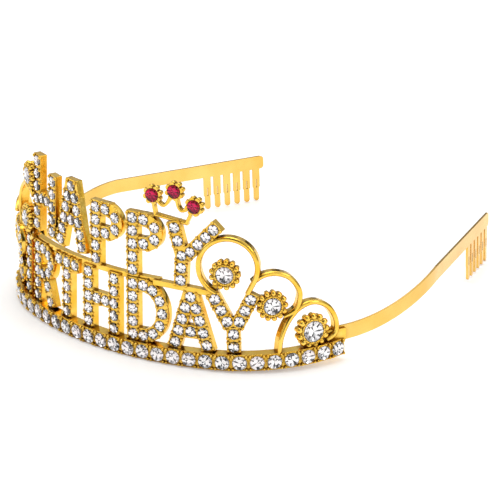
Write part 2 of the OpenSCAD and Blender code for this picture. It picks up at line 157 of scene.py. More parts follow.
@dataclass(frozen=True)
class Graph:
    """The node tree of a material or of the world, with short ways to add to it."""

    tree: NodeTree

    def fill(self, node: Node, inputs: dict) -> None:
        """Gives inputs of a node their values.

        Args:
            node: The node.
            inputs: The value of each input, or the output that is linked to it.
        """
        for name, given in inputs.items():
            if isinstance(given, NodeSocket):
                self.tree.links.new(given, node.inputs[name])
            else:
                node.inputs[name].default_value = given

    def add(self, kind: str, inputs: dict, **settings: object) -> Node:
        """Adds a node.

        Args:
            kind: The node's type.
            inputs: The value of each input, or the output that is linked to it.
            settings: The node's own settings, made before its inputs are filled.

        Returns:
            The node.
        """
        node = self.tree.nodes.new(kind)
        for name, value in settings.items():
            setattr(node, name, value)
        self.fill(node, inputs)
        return node

    def noise(self, scale: float, detail: float) -> NodeSocket:
        """Adds a noise that reads Object coordinates.

        Args:
            scale: Scale of the noise, in cells for each metre.
            detail: Detail of the noise.

        Returns:
            The noise's value.
        """
        place = self.add("ShaderNodeTexCoord", {}).outputs["Object"]
        inputs = {"Vector": place, "Scale": scale, "Detail": detail}
        return self.add("ShaderNodeTexNoise", inputs).outputs["Fac"]

    def spread(self, value: NodeSocket, ends: tuple, part: tuple = NOISE_PART) -> NodeSocket:
        """Returns a part of a value, spread from one end to the other and clamped there."""
        ranges = {"From Min": part[0], "From Max": part[1], "To Min": ends[0], "To Max": ends[1]}
        return self.add("ShaderNodeMapRange", {"Value": value, **ranges}).outputs["Result"]

    def blend(self, share: NodeSocket, first: object, second: object) -> NodeSocket:
        """Mixes two colours.

        Args:
            share: Share of the second colour.
            first: First colour, or its output.
            second: Second colour, or its output.

        Returns:
            The mixed colour.
        """
        inputs = {"Factor": share}
        for name, colour in (("A", first), ("B", second)):
            inputs[name] = (*colour, 1.0) if isinstance(colour, tuple) else colour
        return self.add("ShaderNodeMix", inputs, data_type="RGBA").outputs["Result"]

    def toward(self, direction: NodeSocket, aim: tuple) -> NodeSocket:
        """Returns how far a direction points along another."""
        node = self.add("ShaderNodeVectorMath", {0: direction, 1: aim}, operation="DOT_PRODUCT")
        return node.outputs["Value"]

    def calculate(self, operation: str, *values: object) -> NodeSocket:
        """Returns the result of a Math node over values and outputs."""
        node = self.add("ShaderNodeMath", dict(enumerate(values)), operation=operation)
        return node.outputs["Value"]


@dataclass(frozen=True)
class Finish:
    """A finish, which fills the inputs of its material's shader."""

    name: str

    def material(self) -> Material:
        """Makes the finish's material.

        Returns:
            The material, which a piece or the floor takes.
        """
        material = bpy.data.materials.new(self.name)
        material.use_nodes = True
        graph = Graph(material.node_tree)
        graph.fill(graph.tree.nodes["Principled BSDF"], self.inputs(graph))
        return material

    def inputs(self, graph: Graph) -> dict:
        """Returns the shader's inputs, which each kind of finish has its own of."""
        raise NotImplementedError(self.name)


@dataclass(frozen=True)
class GoldPlate(Finish):
    """Polished gold plate, with painted shade in narrow places, patchy gloss and a faint cast
    ripple.
    """

    light: tuple = (0.97, 0.65, 0.13)
    deep: tuple = (0.89, 0.53, 0.055)
    # Colour of the painted shade that ambient occlusion mixes into narrow places
    painted_crevice_shade: tuple = (0.3, 0.14, 0.006)
    gloss: tuple = (0.09, 0.2)
    edge_r: float = 0.25
    shade_reach: float = 1.6
    shade_range: tuple = (0.42, 0.99)
    ripple: float = 0.012
    ripple_share: float = 0.35
    cloud_scale: float = 260.0
    gloss_scale: float = 900.0
    ripple_scale: float = 620.0

    def shaded(self, graph: Graph) -> NodeSocket:
        """Mixes the gold's colour, darkened by painted shade in the narrow places round stones and
        beads.

        Args:
            graph: The material's node tree.

        Returns:
            The colour.
        """
        # Patches of lighter and deeper gold: random tone on the casting, painted reflection on the
        # strips
        cloud = graph.spread(graph.noise(self.cloud_scale, detail=3.0), SHARE)
        # Ambient occlusion finds the narrow places, where painted shade darkens the colour
        reach = {"Distance": self.shade_reach * MM}
        near = graph.add("ShaderNodeAmbientOcclusion", reach, samples=6).outputs["AO"]
        openness = graph.spread(near, SHARE, self.shade_range)
        return graph.blend(openness, self.painted_crevice_shade, graph.blend(cloud, self.light, self.deep))

    def relief(self, graph: Graph) -> NodeSocket:
        """Rounds the edges in shading and adds the ripple.

        Args:
            graph: The material's node tree.

        Returns:
            The normal.
        """
        rounded = graph.add("ShaderNodeBevel", {"Radius": self.edge_r * MM}, samples=4)
        inputs = {
            "Strength": self.ripple_share,
            "Distance": self.ripple * MM,
            "Height": graph.noise(self.ripple_scale, detail=2.0),
            "Normal": rounded.outputs["Normal"],
        }
        return graph.add("ShaderNodeBump", inputs).outputs["Normal"]

    def inputs(self, graph: Graph) -> dict:
        """Adds the finish's nodes.

        Args:
            graph: The material's node tree.

        Returns:
            The shader's inputs.
        """
        skin = graph.noise(self.gloss_scale, detail=4.0)
        return {
            "Metallic": 1.0,
            "Base Color": self.shaded(graph),
            "Roughness": graph.spread(skin, self.gloss),
            "Normal": self.relief(graph),
        }


@dataclass(frozen=True)
class CloudyFinish(Finish):
    """A finish that wanders between two colours and two values of gloss, or keeps to one."""

    first: tuple
    second: tuple
    gloss: tuple | float
    scale: float
    detail: float
    extra: dict

    def inputs(self, graph: Graph) -> dict:
        """Adds the finish's nodes.

        Args:
            graph: The material's node tree.

        Returns:
            The shader's inputs.
        """
        cloud = graph.noise(self.scale, self.detail)
        gloss = graph.spread(cloud, self.gloss) if isinstance(self.gloss, tuple) else self.gloss
        colour = (*self.first, 1.0)
        if self.second != self.first:
            colour = graph.blend(graph.spread(cloud, SHARE), self.first, self.second)
        return {"Base Color": colour, "Roughness": gloss, **self.extra}


def cut_glass(name: str, tint: tuple, paler: tuple, shine: float) -> CloudyFinish:
    """Returns the clear or tinted glass of a stone's crown and table."""
    extra = {"Transmission Weight": 1.0, "IOR": 1.42, "Specular IOR Level": shine}
    return CloudyFinish(name, tint, paler, gloss=(0.0, 0.03), scale=700.0, detail=2.0, extra=extra)


def foil_back(name: str, first: tuple, second: tuple) -> CloudyFinish:
    """Returns a stone's mirror foil, or dark foil that paints reflections, with a faint play of
    colour.
    """
    gloss, extra = (0.05, 0.12), {"Metallic": 1.0}
    return CloudyFinish(name, first, second, gloss, scale=330.0, detail=1.0, extra=extra)


PALE_FLOOR = CloudyFinish(
    "pale_floor",
    first=(0.93, 0.925, 0.92),
    second=(0.92, 0.915, 0.91),
    gloss=0.42,
    scale=9.0,
    detail=2.0,
    extra={"Emission Color": (1.0, 0.985, 0.97, 1.0), "Emission Strength": 0.32},
)
CAST_PLATE = GoldPlate("cast_gold_plate")
STRIP_PLATE = GoldPlate(
    "strip_gold_plate",
    light=(0.9, 0.6, 0.17),
    deep=(0.82, 0.49, 0.105),
    # Lighter painted shade in the strips' narrow places
    painted_crevice_shade=(0.6, 0.32, 0.04),
    gloss=(0.14, 0.22),
    edge_r=0.1,
    # At this broad scale the strips' patches of lighter and deeper gold are painted reflections
    cloud_scale=65.0,
)
BEAD_PLATE = GoldPlate(
    "bead_gold_plate",
    light=(1.0, 0.68, 0.14),
    deep=(0.93, 0.56, 0.07),
    gloss=(0.08, 0.16),
    edge_r=0.02,
)
# A stone's glass, its foil and the dark foil of facets painted dark as reflections
CLEAR_STONE = (
    cut_glass("clear_glass", (1.0, 1.0, 1.0), (1.0, 1.0, 1.0), shine=0.5),
    foil_back("silver_foil", (0.93, 0.94, 0.95), (0.97, 0.92, 0.93)),
    foil_back("grey_painted_reflection_foil", (0.06, 0.06, 0.065), (0.2, 0.195, 0.2)),
)
RED_STONE = (
    cut_glass("red_glass", (0.74, 0.004, 0.19), (0.7452, 0.02392, 0.2062), shine=0.05),
    foil_back("red_foil", (0.7, 0.1, 0.34), (0.9, 0.2, 0.42)),
    foil_back("dark_red_painted_reflection_foil", (0.16, 0.01, 0.06), (0.3, 0.03, 0.1)),
)


class Finishes:
    """All materials of the crown, made once, as lists in the order of a piece's slots."""

    def __init__(self) -> None:
        """Makes each material."""
        self.cast = [CAST_PLATE.material()]
        self.strip = [STRIP_PLATE.material()]
        self.bead = [BEAD_PLATE.material()]
        self.clear = [finish.material() for finish in CLEAR_STONE]
        self.red = [finish.material() for finish in RED_STONE]
        self.floor = [PALE_FLOOR.material()]


# Modelling helpers


def deselect() -> None:
    """Deselects every object, and leaves edit mode."""
    if bpy.context.object and bpy.context.object.mode != "OBJECT":
        bpy.ops.object.mode_set(mode="OBJECT")
    bpy.ops.object.select_all(action="DESELECT")


def edit_all() -> None:
    """Enters edit mode with everything selected."""
    bpy.ops.object.mode_set(mode="EDIT")
    bpy.ops.mesh.select_all(action="SELECT")


def finish_template(smooth_angle: float) -> Object:
    """Leaves edit mode and shades the active object.

    Args:
        smooth_angle: Edges sharper than this angle, in degrees, stay sharp. 0 keeps all flat.

    Returns:
        The active object.
    """
    if bpy.context.object.mode != "OBJECT":
        bpy.ops.object.mode_set(mode="OBJECT")
    if smooth_angle > 0:
        bpy.ops.object.shade_smooth_by_angle(angle=math.radians(smooth_angle))
    else:
        bpy.ops.object.shade_flat()
    return bpy.context.object


def ring_down(drop: float, grow: float = 1.0, turn: float = 0.0) -> None:
    """Extrudes the selected ring down, and grows and turns it about the template's axis.

    Args:
        drop: Distance down.
        grow: Factor by which the new ring is wider.
        turn: Angle by which it is turned, in radians.
    """
    bpy.ops.mesh.extrude_region_move(TRANSFORM_OT_translate={"value": (0, 0, -drop)})
    bpy.ops.transform.resize(value=(grow, grow, 1), center_override=(0, 0, 0))
    bpy.ops.transform.rotate(value=turn, orient_axis="Z", center_override=(0, 0, 0))


@dataclass(frozen=True)
class StoneCut:
    """The cut of every stone: radii as shares of the girdle's, heights as shares of its width."""

    table_r: float = 0.56
    waist_r: float = 0.84
    deep_r: float = 0.5
    table_z: float = 0.13
    waist_z: float = 0.085
    girdle: float = 0.02
    deep_z: float = 0.07
    culet_z: float = 0.1
    # Every how many wedges a pavilion facet is painted dark as reflection, in outer and inner rows
    painted_dark_outer: int = 4
    painted_dark_inner: int = 5

    def model(self, sides: int, d: float) -> Object:
        """Models one round cut stone with its girdle at z = 0.

        Args:
            sides: Number of sides of its table.
            d: Diameter of its girdle.

        Returns:
            The template. Its crown has material 0, its foiled pavilion 1 and painted dark
            reflections 2.
        """
        r, step = d / 2, math.pi / sides
        table_r, waist_r, deep_r = self.table_r * r, self.waist_r * r, self.deep_r * r
        table_z, waist_z, girdle = self.table_z * d, self.waist_z * d, self.girdle * d
        deep_z, culet_z = self.deep_z * d, self.culet_z * d
        deselect()
        bpy.ops.mesh.primitive_circle_add(
            vertices=sides, radius=table_r, fill_type="NGON", location=(0, 0, table_z)
        )
        bpy.ops.object.transform_apply(location=True)
        edit_all()
        ring_down(table_z - waist_z, waist_r / table_r, step)
        ring_down(waist_z - girdle, r / waist_r, step)
        ring_down(2 * girdle)
        ring_down(deep_z - girdle, deep_r / r, step)
        ring_down(culet_z - deep_z)
        bpy.ops.mesh.merge(type="CENTER")
        bpy.ops.mesh.select_all(action="SELECT")
        bpy.ops.mesh.normals_make_consistent(inside=False)
        bpy.ops.mesh.quads_convert_to_tris(quad_method="SHORTEST_DIAGONAL")
        stone = finish_template(smooth_angle=0)
        # Some pavilion wedges take the dark foil: painted dark reflections
        for face in stone.data.polygons:
            if face.center.z < -girdle:
                wedge = round(math.atan2(face.center.y, face.center.x) / step)
                every = self.painted_dark_outer if face.center.z > -deep_z else self.painted_dark_inner
                face.material_index = 2 if wedge % every == 0 else 1
        return stone


STONE_CUT = StoneCut()


def dome(r: float, height: float, around: int = 8, up: int = 3) -> Object:
    """Models a domed bead that stands on z = 0 with its foot sunk a little.

    Args:
        r: Radius of the bead.
        height: Height of the dome.
        around: Number of sides.
        up: Number of rows of faces over half the height.

    Returns:
        The template.
    """
    foot_share = 0.3
    deselect()
    bpy.ops.mesh.primitive_uv_sphere_add(segments=around, ring_count=2 * up, radius=r)
    edit_all()
    bpy.ops.mesh.bisect(
        plane_co=(0, 0, -foot_share * r), plane_no=(0, 0, 1), clear_inner=True, use_fill=True
    )
    bpy.ops.mesh.select_all(action="SELECT")
    bpy.ops.transform.resize(value=(1, 1, height / r), center_override=(0, 0, 0))
    return finish_template(smooth_angle=50)


def collar(outer: float, wall: float, height: float, sides: int = 16) -> Object:
    """Models the raised round edge of one rail setting.

    Args:
        outer: Outer radius of the edge.
        wall: Width of its wall.
        height: Height above z = 0.
        sides: Number of sides.

    Returns:
        The template.
    """
    taper = 0.97
    deselect()
    bpy.ops.mesh.primitive_circle_add(vertices=sides, radius=outer, fill_type="NGON")
    edit_all()
    bpy.ops.mesh.inset(thickness=wall)
    bpy.ops.mesh.delete(type="FACE")
    bpy.ops.mesh.select_all(action="SELECT")
    ring_down(-height, taper)
    bpy.ops.mesh.select_all(action="SELECT")
    bpy.ops.mesh.normals_make_consistent(inside=False)
    return finish_template(smooth_angle=40)


def curve_through(points: list, bevel: float, bevel_steps: int) -> Object:
    """Starts a curve that runs straight from point to point.

    Args:
        points: Pairs of x and y.
        bevel: Radius of its rounding.
        bevel_steps: Resolution of its rounding.

    Returns:
        The curve object, which is active and selected.
    """
    deselect()
    bpy.ops.curve.primitive_bezier_curve_add()
    curve = bpy.context.object
    curve.data.splines.clear()
    spline = curve.data.splines.new("POLY")
    spline.points.add(len(points) - 1)
    for place, (x, y) in zip(spline.points, points):
        place.co = (x, y, 0, 1)
    curve.data.bevel_depth = bevel
    curve.data.bevel_resolution = bevel_steps
    curve.data.use_fill_caps = True
    return curve


def curve_to_mesh(change: Matrix, base: Matrix, angle: float) -> Object:
    """Turns the active curve into a mesh in its place.

    Args:
        change: Matrix that changes it in its frame.
        base: Matrix from that frame to the scene.
        angle: Edges sharper than this, in degrees, stay sharp.

    Returns:
        The part.
    """
    bpy.ops.object.convert(target="MESH")
    bpy.context.object.data.transform(change)
    part = finish_template(angle)
    part.data.transform(base)
    return part


def round_wire(points: list, base: Matrix, r: float, flat: float, depth: float) -> Object:
    """Models the rounding of a wire along points in a frame's plane, flat, at a depth in it."""
    curve_through(points, r, bevel_steps=3)
    return curve_to_mesh(shift(0, 0, depth) @ Matrix.Diagonal((1, 1, flat, 1)), base, angle=60)


def edge_band(points: list, base: Matrix, wall: float, height: float, closed: bool) -> Object:
    """Models a band over the letter plate's thickness, or a plate inside a closed curve.

    Args:
        points: Pairs of x and y in a frame's own plane.
        base: Matrix from that frame to the scene.
        wall: Half of the band's thickness.
        height: Height of the band.
        closed: Whether the curve is closed and filled.

    Returns:
        The part.
    """
    band = curve_through(points, wall, bevel_steps=1)
    band.data.dimensions = "2D"
    band.data.splines[0].use_cyclic_u = closed
    band.data.fill_mode = "BOTH" if closed else "NONE"
    band.data.extrude = height / 2 - wall
    return curve_to_mesh(shift(0, 0, PLATE_FACE - PLATE_T / 2), base, angle=50)


def copies(template: Object, places: list) -> list:
    """Copies a template to its places, each copy with its own mesh, and removes the template.

    Args:
        template: The modelled template.
        places: A matrix for each copy.

    Returns:
        The copies, with their place in their meshes.
    """
    made = []
    for place in places:
        mesh = template.data.copy()
        mesh.transform(place)
        copy = bpy.data.objects.new(template.name, mesh)
        bpy.context.scene.collection.objects.link(copy)
        made.append(copy)
    bpy.data.objects.remove(template)
    return made


def settle(
    parts: list, name: str, materials: list, nodes: tuple = ()
) -> None:
    """Joins parts into one piece, puts it on the crown's one body and reports it.

    Args:
        parts: The parts.
        name: Name of the piece.
        materials: Its materials, in the order of its slots.
        nodes: CAD nodes that it replaces.
    """
    deselect()
    for part in parts:
        for material in materials:
            part.data.materials.append(material)
        part.select_set(True)
    bpy.context.view_layer.objects.active = parts[0]
    bpy.ops.object.join()
    piece = bpy.context.object
    piece.name = piece.data.name = name
    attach(piece, "root")
    if nodes:
        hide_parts(*nodes)
    LOG.info("%s: %d faces", piece.name, len(piece.data.polygons))


# Letters


@dataclass(frozen=True)
class Line:
    """A straight stroke, with its stones spread evenly from end to end."""

    start: tuple
    end: tuple
    stones: int

    def at_pitch(self, p: float) -> "Line":
        """Returns the stroke with y, which counts rows of stones, in millimetres."""
        (x, y), (end_x, end_y) = self.start, self.end
        return Line((x, y * p), (end_x, end_y * p), self.stones)

    def point(self, t: float) -> Vector:
        """Returns the place at a share t of the stroke."""
        return Vector(self.start).lerp(Vector(self.end), t)


@dataclass(frozen=True)
class Arc:
    """A stroke along an ellipse, from one angle in degrees to another."""

    centre: tuple
    radii: tuple
    turn_from: float
    turn_to: float
    stones: int

    def at_pitch(self, p: float) -> "Arc":
        """Returns the stroke with y, which counts rows of stones, in millimetres."""
        (x, y), (across, up) = self.centre, self.radii
        return Arc((x, y * p), (across, up * p), self.turn_from, self.turn_to, self.stones)

    def angle(self, t: float) -> float:
        """Returns the angle at a share t of the stroke, in radians."""
        return math.radians(self.turn_from + (self.turn_to - self.turn_from) * t)

    def point(self, t: float) -> Vector:
        """Returns the place at a share t of the stroke."""
        x, y = self.radii[0] * math.cos(self.angle(t)), self.radii[1] * math.sin(self.angle(t))
        return Vector((self.centre[0] + x, self.centre[1] + y))

    def outside(self, away: float, steps: int) -> list:
        """Points along the stroke's outer edge.

        Args:
            away: Distance from the stroke's middle line.
            steps: Number of stretches.

        Returns:
            Pairs of x and y.
        """
        found = []
        for i in range(steps + 1):
            angle = self.angle(i / steps)
            out = Vector((math.cos(angle) / self.radii[0], math.sin(angle) / self.radii[1]))
            found.append(tuple(self.point(i / steps) + away * out.normalized()))
        return found


def polar(r: float, angle: float) -> tuple:
    """Returns the point at radius r and an angle in degrees."""
    return (r * math.cos(math.radians(angle)), r * math.sin(math.radians(angle)))


def stem(x: float, rows: float, stones: int) -> Line:
    """Returns an upright stroke from the letter's foot."""
    return Line((x, 0.0), (x, rows), stones)


class Cap(Enum):
    """The strokes of each letter but A, as x in millimetres and y in rows of stones."""

    TALL_H = (stem(-4.6, 5, 6), stem(4.6, 4, 5), Line((-1.53, 2.2), (1.53, 2.2), 2))
    WIDE_H = (stem(-5.05, 4, 5), stem(5.05, 4, 5), Line((-1.68, 2), (1.68, 2), 2))
    P = (stem(-3.7, 4, 5), Arc((0, 3.06), (4.3, 0.93), 90, -90, 4))
    B = (
        stem(-3.4, 4, 5),
        Arc((-0.1, 3.07), (3.2, 0.98), 90, -90, 4),
        Arc((0, 1.03), (3.9, 1), 30, -90, 3),
    )
    I = (stem(0, 4, 5),)
    R = (
        stem(-3.8, 4, 5),
        Arc((-0.6, 3), (4.4, 1.03), 90, -90, 5),
        Line((2.1, 1.1), (3.9, 0), 2),
    )
    T = (Line((-3.9, 4), (3.9, 4), 3), stem(0, 3, 4))
    D = (stem(-5, 4, 5), Arc((-1.5, 2), (6.4, 2), 90, -90, 7))
    Y = (Line((-5.1, 3.75), (-1.75, 2), 3), Line((5.1, 3.75), (1.75, 2), 3), stem(0, 1, 2))
    SLANT_Y = (
        Line((-2.3, 0), (-1.9, 1.9), 3),
        Line((-3.05, 3), (-4, 3.98), 2),
        Line((0.7, 2.25), (7.8, 4.13), 4),
    )


@dataclass(frozen=True)
class Letter:
    """One letter: its middle along the rail, its foot's height, its strokes and filled corners."""

    s: float
    h: float
    strokes: list
    corners: tuple = ()

    @property
    def base(self) -> Matrix:
        """Returns the matrix from the letter's frame to the scene."""
        return STANCE.on_front(self.s, self.h)

    def stones(self) -> list:
        """Spreads the stones along the strokes.

        Returns:
            Pairs of a stone's place and its stroke's direction there, in the letter's plane.
        """
        found, beside = [], 0.02
        for stroke in self.strokes:
            for i in range(stroke.stones):
                t = i / (stroke.stones - 1) if stroke.stones > 1 else 0.5
                ahead = stroke.point(min(t + beside, 1)) - stroke.point(max(t - beside, 0))
                along = ahead.normalized() if ahead.length > 0 else Vector((0, 1))
                found.append((stroke.point(t), along))
        return found


def plain(s: float, h: float, cap: Cap, p: float) -> Letter:
    """Returns a letter with a stone pitch p, at its place."""
    return Letter(s, h, [stroke.at_pitch(p) for stroke in cap.value])


def cap_a(s: float, h: float, w: float, p: float, n: int) -> Letter:
    """An A, with corners that carry its slanted sides up to its flat top.

    Args:
        s: Its middle along the rail.
        h: Height of its foot.
        w: Half of its width at the foot.
        p: Pitch of its stones up a leg.
        n: Number of stones in a leg.

    Returns:
        The letter.
    """
    top_x, top, peak, bar = 1.65, (n - 1) * p, n * p - 0.2, (n - 3) * p
    strokes = [Line((m * w, 0), (m * top_x, top), n) for m in (-1, 1)]
    strokes += [Line((0, y), (0, y), 1) for y in (peak, bar)]
    stone_clear, inner_x, inner_rise = 1.7, 1.85, 1.75
    slope = Vector((top_x - w, top)).normalized()
    corner = Vector((top_x, top)) + STROKE_W / 2 * Vector((slope.y, -slope.x))
    crest = peak + STROKE_W / 2
    tip = corner + slope * ((crest - corner.y) / slope.y)
    outline = [tuple(corner), tuple(tip), (inner_x, crest), (inner_x, top + inner_rise)]
    outline += [(top_x + x, top + y) for x, y in (polar(stone_clear, a) for a in (60, 37, 15))]
    return Letter(s, h, strokes, (outline, [(-x, y) for x, y in reversed(outline)]))


@dataclass
class LetterRow:
    """A row of letters: its cut stones, the bead prongs that hold them and the letters' edges."""

    finishes: Finishes
    name: str
    letters: list
    stone_d: float = 3.24
    sides: int = 10
    proud: float = 0.14
    least_gap: float = 0.04
    spin: float = 0.7
    band_wall: float = 0.09
    band_steps: int = 30
    skin: float = 0.04
    prong_r: float = 0.55
    prong_h: float = 0.62
    prong_along: float = 1.3
    prong_across: float = 1.68
    prong_gap: float = 0.85
    prong_clear: float = 0.35

    def seats(self) -> list:
        """Seats the stones, each smaller where its neighbours are near.

        Returns:
            A matrix for each stone.
        """
        found = []
        for letter in self.letters:
            spots = [place for place, _ in letter.stones()]
            for place in spots:
                nearest = min((place - other).length for other in spots if other is not place)
                fitted = Matrix.Scale(min(1.0, (nearest - self.least_gap) / self.stone_d), 4)
                turn = Matrix.Rotation(self.spin * (place.x + place.y), 4, "Z")
                seat = shift(place.x, place.y, PLATE_FACE + self.proud)
                found.append(letter.base @ seat @ turn @ fitted)
        return found

    def prongs(self, letter: Letter) -> list:
        """Prongs of a letter, four round each stone, clear of the stones and one another.

        Args:
            letter: The letter.

        Returns:
            A matrix for each prong.
        """
        stones = letter.stones()
        clear = self.stone_d / 2 + self.prong_clear * self.prong_r
        kept = []
        for place, along in stones:
            across = Vector((-along.y, along.x))
            for a, b in CORNERS:
                prong = place + a * self.prong_along * along + b * self.prong_across * across
                if all((prong - other).length > clear for other, _ in stones):
                    if all((prong - other).length > self.prong_gap for other in kept):
                        kept.append(prong)
        return [letter.base @ shift(prong.x, prong.y, PLATE_FACE) for prong in kept]

    def edges(self, letter: Letter) -> list:
        """Models the bands round a letter's bowls and its filled corners.

        Args:
            letter: The letter.

        Returns:
            The parts, in their places.
        """
        away, height = STROKE_W / 2 - self.skin, PLATE_T + self.skin
        bowls = [
            stroke.outside(away, self.band_steps)
            for stroke in letter.strokes
            if isinstance(stroke, Arc)
        ]
        bands = [edge_band(run, letter.base, self.band_wall, height, False) for run in bowls]
        corners = [edge_band(run, letter.base, self.skin, height, True) for run in letter.corners]
        return bands + corners

    def build(self) -> None:
        """Builds the row's stones, prongs and letter edges."""
        finishes, nodes = self.finishes, (f"{self.name}_stones",)
        cut = copies(STONE_CUT.model(self.sides, self.stone_d), self.seats())
        settle(cut, f"{self.name}_cut_stones", finishes.clear, nodes)
        places = [place for letter in self.letters for place in self.prongs(letter)]
        beads = copies(dome(self.prong_r, self.prong_h), places)
        settle(beads, f"{self.name}_prongs", finishes.bead)
        edges = [part for letter in self.letters for part in self.edges(letter)]
        settle(edges, f"{self.name}_letter_edges", finishes.cast)


# Stone rail


@dataclass
class StoneRail:
    """The foot of the front: round settings side by side, each with a stone and four prongs."""

    finishes: Finishes
    count: int = 31
    pitch: float = 5.0
    stone_d: float = 4.45
    sides: int = 12
    spin: float = 0.9
    collar_r: float = 2.46
    wall: float = 0.34
    proud: float = 0.16
    prong_r: float = 0.5
    prong_h: float = 0.8
    prong_lift: float = 0.05
    prong_along: float = 1.98
    prong_across: float = 1.98

    def stations(self) -> list:
        """Returns the distance of each stone along the rail."""
        return [(i - (self.count - 1) / 2) * self.pitch for i in range(self.count)]

    def build(self) -> None:
        """Builds the rail's stones, the raised edges of their settings and the prongs."""
        seats, cells, prongs = [], [], []
        for i, s in enumerate(self.stations()):
            base = STANCE.upright(s, 0, 0) @ shift(0, 0, STANCE.rail_face)
            seats.append(base @ shift(0, 0, self.proud) @ Matrix.Rotation(self.spin * i, 4, "Z"))
            cells.append(base)
            for a, b in CORNERS:
                corner = shift(a * self.prong_along, b * self.prong_across, self.prong_lift)
                prongs.append(base @ corner)
        cut = copies(STONE_CUT.model(self.sides, self.stone_d), seats)
        nodes = ("rail_stones",)
        settle(cut, "rail_cut_stones", self.finishes.clear, nodes)
        edges = copies(collar(self.collar_r, self.wall, self.proud), cells)
        settle(edges, "rail_setting_edges", self.finishes.cast)
        beads = copies(dome(self.prong_r, self.prong_h), prongs)
        settle(beads, "rail_prongs", self.finishes.bead)


# Flowers and scrolls


def reach(s: float, side: Side) -> float:
    """Returns a distance along one side. The left scroll is squeezed to clear its first letter."""
    squeeze, squeeze_from, squeeze_to = 0.84, 55.1, 59.0
    return s if side is Side.RIGHT else squeeze_to + (s - squeeze_from) * squeeze


def smooth(points: list, steps: int) -> list:
    """Points on a smooth curve through others.

    Args:
        points: The points that the curve goes through.
        steps: Number of stretches between each two.

    Returns:
        The curve's points.
    """
    made = []
    last = len(points) - 1
    for i in range(last):
        before, start = Vector(points[max(i - 1, 0)]), Vector(points[i])
        end, after = Vector(points[i + 1]), Vector(points[min(i + 2, last)])
        for j in range(steps + (1 if i == last - 1 else 0)):
            t = j / steps
            bend = (2 * before - 5 * start + 4 * end - after) * t * t
            sway = (3 * start - before - 3 * end + after) * t**3
            made.append(tuple(0.5 * (2 * start + (end - before) * t + bend + sway)))
    return made


@dataclass
class Scroll:
    """The curled wires at one end of the front: a big loop, a middle curl and an outer curl."""

    finishes: Finishes
    side: Side
    wire_w: float = 1.5
    cover: float = 0.03
    sink: float = 0.05
    flat: float = 0.85
    loop_s: float = 42.0
    loop_h: float = 28.2
    loop_r: float = 9.2
    loop_step: float = 5.0
    loop_from: float = -25.0
    loop_to: float = 245.0
    left_loop_to: float = 130.0
    left_tail: tuple = (245.0, 238.0, 231.0, 224.0)
    loop_foot: tuple = (5.5, -7.6)
    middle_curl: tuple = (
        (49.9, 23.8), (52.8, 25.6), (56.8, 25.9), (60.9, 24.0),
        (63.4, 19.5), (62.2, 14.8), (58.4, 12.8),
    )
    outer_curl: tuple = (
        (56.6, 1.5), (57.6, 6.8), (60.2, 11.5), (63.9, 14.7), (68.5, 15.5),
        (72.7, 13.3), (75.0, 8.8), (74.6, 4.9), (71.8, 3.2),
    )

    def loop_runs(self) -> list:
        """Lays out the big loop. The left one is open at the first upper stem.

        Returns:
            Runs of pairs of x and y.
        """
        r = self.loop_r - self.wire_w / 2
        top = self.loop_to if self.side is Side.RIGHT else self.left_loop_to
        count = int((top - self.loop_from) / self.loop_step) + 1
        runs = [[polar(r, top - self.loop_step * i) for i in range(count)] + [self.loop_foot]]
        if self.side is Side.LEFT:
            runs.append([polar(r, a) for a in self.left_tail])
        return [[(self.side.value * x, y) for x, y in run] for run in runs]

    def curl_run(self, points: tuple) -> tuple:
        """A curl's points in its own frame, which stands between its first and third last point.

        Args:
            points: The curl's points on the right side.

        Returns:
            The frame's distance along the rail, and the points in it.
        """
        middle = (points[0][0] + points[-3][0]) / 2
        s = self.side.value * reach(middle, self.side)
        curl = smooth(points, steps=5)
        return s, [(self.side.value * reach(x, self.side) - s, y) for x, y in curl]

    def build(self) -> None:
        """Builds the rounded front and back of each wire."""
        loop_base = STANCE.on_front(self.side.value * self.loop_s, self.loop_h)
        runs = [(loop_base, run) for run in self.loop_runs()]
        for points in (self.middle_curl, self.outer_curl):
            s, run = self.curl_run(points)
            runs.append((STANCE.on_front(s, 0), run))
        r = self.wire_w / 2 + self.cover
        depths = (PLATE_FACE - self.sink, PLATE_FACE - PLATE_T + self.sink)
        parts = [round_wire(run, base, r, self.flat, z) for base, run in runs for z in depths]
        name = f"{self.side.name.lower()}_scroll_rounding"
        settle(parts, name, self.finishes.cast)


@dataclass(frozen=True)
class Flower:
    """One flower: a ring of domed petals round a beaded edge and one stone."""

    name: str
    s: float
    h: float
    r: float
    stone_d: float


